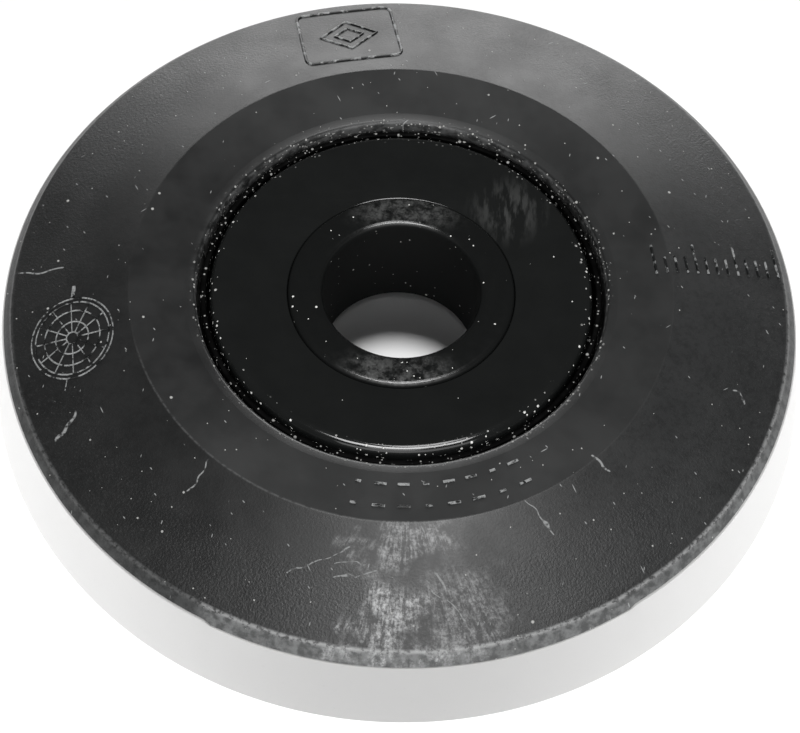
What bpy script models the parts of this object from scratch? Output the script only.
"""Desk grommet: a low round housing with a lift-out centre cap and a bush for one cable.

The origin is on the desk surface, at the centre of the cable bore, and +Z points up out of
the desk. Lengths below are millimetres; MM turns them into metres.

From the outside in, the pieces are the light side ring, the black cover ring on top of it,
the seat ring that turns inside the cover, the cap that lies in the seat ring, and the bush
that lines the hole in the cap. Four screws join the two housing rings from below, and a
rubber ring under the housing grips the desk.
"""

import math

import bmesh
import bpy
from mathutils import Matrix, Vector

MM = 0.001
OBJECT_NAME = "desk_grommet"

# Facets around the rings and around a screw, and steps in each rounded corner.
RING_FACETS = 48
SCREW_FACETS = 16
CORNER_STEPS = 2
MERGE_DISTANCE = 0.00001

# Clearance between pieces that rest on each other.
GAP = 0.3

# Side ring: the light band that stands on the desk.
BASE_RADIUS = 30.0
BAND_TOP_RADIUS = 28.9
BAND_TOP = 6.9
BAND_INSIDE = 27.05
BAND_FOOT = 0.2
BAND_CHAMFER = 0.35
FLOOR_BOTTOM = 1.1
FLOOR_TOP = 2.7
COLLAR_INSIDE = 12.4
COLLAR_OUTSIDE = 13.4
COLLAR_TOP = 4.0

# Rubber ring under the floor, and the fence that it lies against.
RUBBER_OUTSIDE = 26.6
RUBBER_INSIDE = 22.7
RUBBER_THICKNESS = 0.8
FENCE_OUTSIDE = 22.3
FENCE_INSIDE = 21.7
FENCE_BOTTOM = 0.5

# Cover ring: lip, cone up to the crown, flat land, and the rim around the opening.
LIP_RADIUS = 28.85
LIP_BOTTOM = BAND_TOP + GAP
LIP_TOP_RADIUS = 28.15
LIP_TOP = 8.0
CROWN_RADIUS = 19.6
CROWN_TOP = 10.3
RIM_RADIUS = 14.8
RIM_TOP = 9.92
SHELL = 1.6
SKIRT_OUTSIDE = 26.75
SKIRT_INSIDE = 25.3
SKIRT_BOTTOM = FLOOR_TOP + 0.4
WELL_OUTSIDE = 16.4
LEDGE_INSIDE = 11.4
LEDGE_BOTTOM = COLLAR_TOP + GAP
LEDGE_TOP = 5.5

# Seat ring: an L section that stands on the ledge and holds the cap.
SEAT_OUTSIDE = RIM_RADIUS - GAP
SEAT_WALL = 0.4
SEAT_INSIDE = 11.8
SEAT_BOTTOM = LEDGE_TOP + GAP
SEAT_LEG_TOP = 6.6
SEAT_TOP = 9.2

# Cap: edge, top face that dips towards the bush, skirt, hub and ribs.
CAP_RADIUS = 13.85
CAP_EDGE_TOP = 9.75
CAP_DIP_TOP = 9.1
CAP_SKIRT_INSIDE = 12.3
CAP_SKIRT_BOTTOM = SEAT_LEG_TOP + GAP
CAP_UNDERSIDE = 7.4
HUB_INSIDE = 7.3
HUB_OUTSIDE = 9.0
HUB_BOTTOM = 3.0
POCKET_RADIUS = 8.5
POCKET_FLOOR = 7.9
RIB_COUNT = 8
RIB_OUTSIDE = 10.9
RIB_BOTTOM = 5.0
RIB_THICKNESS = 0.9

# Bush: a flange in the cap's pocket and a tube down to the desk.
BORE_RADIUS = 5.7
TUBE_RADIUS = HUB_INSIDE - GAP
TUBE_BOTTOM = 0.35
FLANGE_RADIUS = 8.2
FLANGE_BOTTOM = POCKET_FLOOR + GAP
FLANGE_TOP = 9.4

# Screws, their bosses on both rings and the holes that they run in.
SCREW_COUNT = 4
SCREW_CIRCLE = 18.2
SCREW_FIRST_ANGLE = 45.0
SCREW_RADIUS = 0.9
SCREW_TIP = 7.9
SCREW_HEAD_RADIUS = 2.0
SCREW_HEAD_TOP = 2.3
SCREW_HEAD_BOTTOM = 1.4
SCREW_HOLE_RADIUS = SCREW_RADIUS + GAP
COUNTERBORE_RADIUS = SCREW_HEAD_RADIUS + GAP
COUNTERBORE_TOP = SCREW_HEAD_TOP + GAP
FLOOR_BOSS_RADIUS = 3.3
FLOOR_BOSS_TOP = 3.6
COVER_BOSS_RADIUS = 2.2
COVER_BOSS_BOTTOM = FLOOR_BOSS_TOP + GAP
COVER_BOSS_TOP = 9.3
PILOT_TOP = 8.2
RECESS_LENGTH = 2.2
RECESS_WIDTH = 0.5
RECESS_DEPTH = 0.5


def clear_scene():
    """Remove every object of the open scene."""
    for item in list(bpy.data.objects):
        bpy.data.objects.remove(item, do_unlink=True)


def new_collection(name):
    """Add a collection to the scene."""
    collection = bpy.data.collections.new(name)
    bpy.context.scene.collection.children.link(collection)
    return collection


def new_material(name, color, roughness, metallic=0.0):
    """A plain material with one Principled shader."""
    material = bpy.data.materials.new(name)
    material.use_nodes = True
    shader = material.node_tree.nodes["Principled BSDF"]
    shader.inputs["Base Color"].default_value = (*color, 1.0)
    shader.inputs["Roughness"].default_value = roughness
    shader.inputs["Metallic"].default_value = metallic
    return material


def rounded(corner, before, after, rounding):
    """Points of the arc that rounds a corner between its two neighbours."""
    to_before = (before - corner).normalized()
    to_after = (after - corner).normalized()
    half_angle = to_before.angle(to_after) / 2
    reach = rounding / math.tan(half_angle)
    centre = corner + (to_before + to_after).normalized() * rounding / math.sin(half_angle)
    first = corner + to_before * reach - centre
    last = corner + to_after * reach - centre
    start = math.atan2(first.y, first.x)
    turn = math.atan2(last.y, last.x) - start
    turn = math.remainder(turn, 2 * math.pi)
    points = []
    for step in range(CORNER_STEPS + 1):
        angle = start + turn * step / CORNER_STEPS
        points.append(centre + Vector((math.cos(angle), math.sin(angle))) * rounding)
    return points


def section(corners):
    """Closed outline of (radius, height, rounding) corners, as points in millimetres."""
    points = []
    for index, (radius, height, rounding) in enumerate(corners):
        corner = Vector((radius, height))
        if rounding == 0:
            points.append(corner)
            continue
        before = Vector(corners[index - 1][:2])
        after = Vector(corners[(index + 1) % len(corners)][:2])
        points.extend(rounded(corner, before, after, rounding))
    return points


def add_object(name, mesh, collection, material=None):
    """Put a mesh in the scene, shaded smooth except at its sharp edges."""
    piece = bpy.data.objects.new(name, mesh)
    collection.objects.link(piece)
    if material:
        mesh.materials.append(material)
    mesh.shade_smooth()
    return piece


def turned(name, corners, facets, collection, material, closed=True):
    """Turn a section around Z. Corners run down the outer side and back up the inner side."""
    points = section(corners)
    vertices = [(point.x * MM, 0.0, point.y * MM) for point in points]
    edges = [(index, index + 1) for index in range(len(points) - 1)]
    if closed:
        edges.append((len(points) - 1, 0))
    mesh = bpy.data.meshes.new(name)
    mesh.from_pydata(vertices, edges, [])
    piece = add_object(name, mesh, collection, material)
    screw = piece.modifiers.new("turn", "SCREW")
    screw.axis = "Z"
    screw.angle = 2 * math.pi
    screw.steps = facets
    screw.render_steps = facets
    screw.use_merge_vertices = True
    screw.merge_threshold = MERGE_DISTANCE
    screw.use_smooth_shade = True
    return piece


def as_cutter(name, bm, cutters):
    """Turn a bmesh into an object that only shapes other pieces."""
    mesh = bpy.data.meshes.new(name)
    bm.to_mesh(mesh)
    bm.free()
    cutter = bpy.data.objects.new(name, mesh)
    cutters.objects.link(cutter)
    cutter.hide_render = True
    cutter.display_type = "WIRE"
    return cutter


def screw_angles():
    """Angles of the screws around the housing, in radians."""
    return [math.radians(SCREW_FIRST_ANGLE + 360 * n / SCREW_COUNT) for n in range(SCREW_COUNT)]


def screw_posts(name, radius, low, high, cutters):
    """One upright cylinder on the axis of each screw."""
    bm = bmesh.new()
    for angle in screw_angles():
        lift = Matrix.Translation((SCREW_CIRCLE * MM, 0, (low + high) / 2 * MM))
        bmesh.ops.create_cone(
            bm,
            cap_ends=True,
            segments=SCREW_FACETS,
            radius1=radius * MM,
            radius2=radius * MM,
            depth=(high - low) * MM,
            matrix=Matrix.Rotation(angle, 4, "Z") @ lift,
        )
    return as_cutter(name, bm, cutters)


def bars(name, angles, size, centre, cutters):
    """One box at each angle around Z; size and centre are for the box at angle zero."""
    bm = bmesh.new()
    shape = Matrix.Diagonal((*[side * MM for side in size], 1.0))
    place = Matrix.Translation([value * MM for value in centre])
    for angle in angles:
        bmesh.ops.create_cube(bm, size=1.0, matrix=Matrix.Rotation(angle, 4, "Z") @ place @ shape)
    return as_cutter(name, bm, cutters)


def combine(piece, other, operation):
    """Join another shape to a piece, or cut it away."""
    boolean = piece.modifiers.new(other.name, "BOOLEAN")
    boolean.solver = "EXACT"
    boolean.operation = operation
    boolean.object = other


def sharpen(piece):
    """Keep edges over 40 degrees crisp on a smooth piece."""
    piece.data.set_sharp_from_angle(angle=math.radians(40))


def make_base_ring(parts, cutters):
    """Light side ring with the floor that carries the rubber ring and the screws."""
    material = new_material("light_grey_plastic", (0.72, 0.71, 0.70), 0.42)
    corners = [
        (BAND_TOP_RADIUS, BAND_TOP, 0.15),
        (BASE_RADIUS, BAND_FOOT + BAND_CHAMFER, 0),
        (BASE_RADIUS - BAND_CHAMFER, BAND_FOOT, 0),
        (BAND_INSIDE, BAND_FOOT, 0),
        (BAND_INSIDE, FLOOR_BOTTOM, 0),
        (FENCE_OUTSIDE, FLOOR_BOTTOM, 0),
        (FENCE_OUTSIDE, FENCE_BOTTOM, 0),
        (FENCE_INSIDE, FENCE_BOTTOM, 0),
        (FENCE_INSIDE, FLOOR_BOTTOM, 0),
        (COLLAR_INSIDE, FLOOR_BOTTOM, 0),
        (COLLAR_INSIDE, COLLAR_TOP, 0),
        (COLLAR_OUTSIDE, COLLAR_TOP, 0),
        (COLLAR_OUTSIDE, FLOOR_TOP, 0),
        (BAND_INSIDE, FLOOR_TOP, 0),
        (BAND_INSIDE, BAND_TOP, 0),
    ]
    ring = turned("base_ring", corners, RING_FACETS, parts, material)
    middle_of_floor = (FLOOR_BOTTOM + FLOOR_TOP) / 2
    posts = screw_posts("floor_bosses", FLOOR_BOSS_RADIUS, middle_of_floor, FLOOR_BOSS_TOP, cutters)
    combine(ring, posts, "UNION")
    below = BAND_FOOT - 1.0
    heads = screw_posts("counterbores", COUNTERBORE_RADIUS, below, COUNTERBORE_TOP, cutters)
    combine(ring, heads, "DIFFERENCE")
    above = FLOOR_BOSS_TOP + 1.0
    shanks = screw_posts("clearance_holes", SCREW_HOLE_RADIUS, below, above, cutters)
    combine(ring, shanks, "DIFFERENCE")
    return ring


def make_top_ring(parts, cutters):
    """Black cover ring with its cone, land, rim, well and screw bosses."""
    material = new_material("black_textured_plastic", (0.030, 0.031, 0.032), 0.55)
    slope = (CROWN_TOP - LIP_TOP) / (LIP_TOP_RADIUS - CROWN_RADIUS)
    drop = SHELL * math.hypot(1, slope)
    under_skirt = LIP_TOP + (LIP_TOP_RADIUS - SKIRT_INSIDE) * slope - drop
    under_crown = CROWN_TOP - drop
    under_land = RIM_TOP - SHELL
    corners = [
        (LIP_TOP_RADIUS, LIP_TOP, 0.2),
        (LIP_RADIUS, LIP_BOTTOM, 0),
        (SKIRT_OUTSIDE, LIP_BOTTOM, 0),
        (SKIRT_OUTSIDE, SKIRT_BOTTOM, 0),
        (SKIRT_INSIDE, SKIRT_BOTTOM, 0),
        (SKIRT_INSIDE, under_skirt, 0),
        (CROWN_RADIUS, under_crown, 0),
        (WELL_OUTSIDE, under_land, 0),
        (WELL_OUTSIDE, LEDGE_BOTTOM, 0),
        (LEDGE_INSIDE, LEDGE_BOTTOM, 0),
        (LEDGE_INSIDE, LEDGE_TOP, 0),
        (RIM_RADIUS, LEDGE_TOP, 0),
        (RIM_RADIUS, RIM_TOP, 0.6),
        (CROWN_RADIUS, CROWN_TOP, 0.8),
    ]
    ring = turned("top_ring", corners, RING_FACETS, parts, material)
    posts = screw_posts("cover_bosses", COVER_BOSS_RADIUS, COVER_BOSS_BOTTOM, COVER_BOSS_TOP, cutters)
    combine(ring, posts, "UNION")
    below = COVER_BOSS_BOTTOM - 1.0
    pilots = screw_posts("pilot_holes", SCREW_HOLE_RADIUS, below, PILOT_TOP, cutters)
    combine(ring, pilots, "DIFFERENCE")
    return ring


def make_seat_ring(parts):
    """Thin L-section ring that turns on the cover's ledge."""
    material = new_material("black_seat_plastic", (0.012, 0.012, 0.013), 0.45)
    corners = [
        (SEAT_OUTSIDE, SEAT_TOP, 0.12),
        (SEAT_OUTSIDE, SEAT_BOTTOM, 0),
        (SEAT_INSIDE, SEAT_BOTTOM, 0),
        (SEAT_INSIDE, SEAT_LEG_TOP, 0),
        (SEAT_OUTSIDE - SEAT_WALL, SEAT_LEG_TOP, 0),
        (SEAT_OUTSIDE - SEAT_WALL, SEAT_TOP, 0.12),
    ]
    return turned("seat_ring", corners, RING_FACETS, parts, material)


def make_centre_cap(parts, cutters):
    """Glossy cap with a skirt, a hub for the bush, and ribs between plate and hub."""
    material = new_material("gloss_black_plastic", (0.010, 0.010, 0.011), 0.12)
    corners = [
        (CAP_RADIUS, CAP_EDGE_TOP, 0.5),
        (CAP_RADIUS, CAP_SKIRT_BOTTOM, 0),
        (CAP_SKIRT_INSIDE, CAP_SKIRT_BOTTOM, 0),
        (CAP_SKIRT_INSIDE, CAP_UNDERSIDE, 0),
        (HUB_OUTSIDE, CAP_UNDERSIDE, 0),
        (HUB_OUTSIDE, HUB_BOTTOM, 0),
        (HUB_INSIDE, HUB_BOTTOM, 0),
        (HUB_INSIDE, POCKET_FLOOR, 0),
        (POCKET_RADIUS, POCKET_FLOOR, 0),
        (POCKET_RADIUS, CAP_DIP_TOP, 0.15),
    ]
    cap = turned("centre_cap", corners, RING_FACETS, parts, material)
    angles = [2 * math.pi * n / RIB_COUNT for n in range(RIB_COUNT)]
    rib_inside = (HUB_INSIDE + HUB_OUTSIDE) / 2
    rib_top = CAP_UNDERSIDE + 0.5
    size = (RIB_OUTSIDE - rib_inside, RIB_THICKNESS, rib_top - RIB_BOTTOM)
    centre = ((RIB_OUTSIDE + rib_inside) / 2, 0, (rib_top + RIB_BOTTOM) / 2)
    ribs = bars("cap_ribs", angles, size, centre, cutters)
    combine(cap, ribs, "UNION")
    return cap


def make_cable_bush(parts):
    """Flanged tube that lines the cable hole."""
    material = new_material("matte_black_plastic", (0.024, 0.024, 0.025), 0.5)
    corners = [
        (FLANGE_RADIUS, FLANGE_TOP, 0.3),
        (FLANGE_RADIUS, FLANGE_BOTTOM, 0),
        (TUBE_RADIUS, FLANGE_BOTTOM, 0),
        (TUBE_RADIUS, TUBE_BOTTOM, 0.25),
        (BORE_RADIUS, TUBE_BOTTOM, 0.2),
        (BORE_RADIUS, FLANGE_TOP, 0.3),
    ]
    return turned("cable_bush", corners, RING_FACETS, parts, material)


def make_rubber_foot(parts):
    """Rubber ring under the housing."""
    material = new_material("dark_grey_rubber", (0.09, 0.09, 0.09), 0.85)
    corners = [
        (RUBBER_OUTSIDE, RUBBER_THICKNESS, 0),
        (RUBBER_OUTSIDE, 0, 0),
        (RUBBER_INSIDE, 0, 0),
        (RUBBER_INSIDE, RUBBER_THICKNESS, 0),
    ]
    return turned("rubber_foot", corners, RING_FACETS, parts, material)


def make_screws(parts, cutters):
    """Screws that point up, with a cross recess in the head. They share one mesh."""
    material = new_material("zinc_steel", (0.55, 0.55, 0.54), 0.32, 1.0)
    tip_length = 1.2
    corners = [
        (0, SCREW_TIP, 0),
        (SCREW_RADIUS, SCREW_TIP - tip_length, 0),
        (SCREW_RADIUS, SCREW_HEAD_TOP, 0),
        (SCREW_HEAD_RADIUS, SCREW_HEAD_TOP, 0),
        (SCREW_HEAD_RADIUS, SCREW_HEAD_BOTTOM, 0.35),
        (0, SCREW_HEAD_BOTTOM, 0),
    ]
    pattern = turned("screw_pattern", corners, SCREW_FACETS, cutters, material, closed=False)
    size = (RECESS_LENGTH, RECESS_WIDTH, 2 * RECESS_DEPTH)
    for direction, angle in (("along", 0.0), ("across", math.pi / 2)):
        slot = bars("recess_" + direction, [angle], size, (0, 0, SCREW_HEAD_BOTTOM), cutters)
        combine(pattern, slot, "DIFFERENCE")
    graph = bpy.context.evaluated_depsgraph_get()
    mesh = bpy.data.meshes.new_from_object(pattern.evaluated_get(graph))
    mesh.name = "base_screw"
    bpy.data.objects.remove(pattern, do_unlink=True)
    screws = []
    for number, angle in enumerate(screw_angles(), start=1):
        screw = bpy.data.objects.new(f"base_screw_{number}", mesh)
        parts.objects.link(screw)
        screw.location = (SCREW_CIRCLE * MM * math.cos(angle), SCREW_CIRCLE * MM * math.sin(angle), 0)
        screw.rotation_euler.z = angle
        screws.append(screw)
    return screws


def build():
    """Make the whole grommet."""
    clear_scene()
    parts = new_collection(OBJECT_NAME)
    cutters = new_collection("cutters")
    pieces = [
        make_base_ring(parts, cutters),
        make_top_ring(parts, cutters),
        make_seat_ring(parts),
        make_centre_cap(parts, cutters),
        make_cable_bush(parts),
        make_rubber_foot(parts),
    ]
    pieces += make_screws(parts, cutters)
    for piece in pieces:
        sharpen(piece)


build()
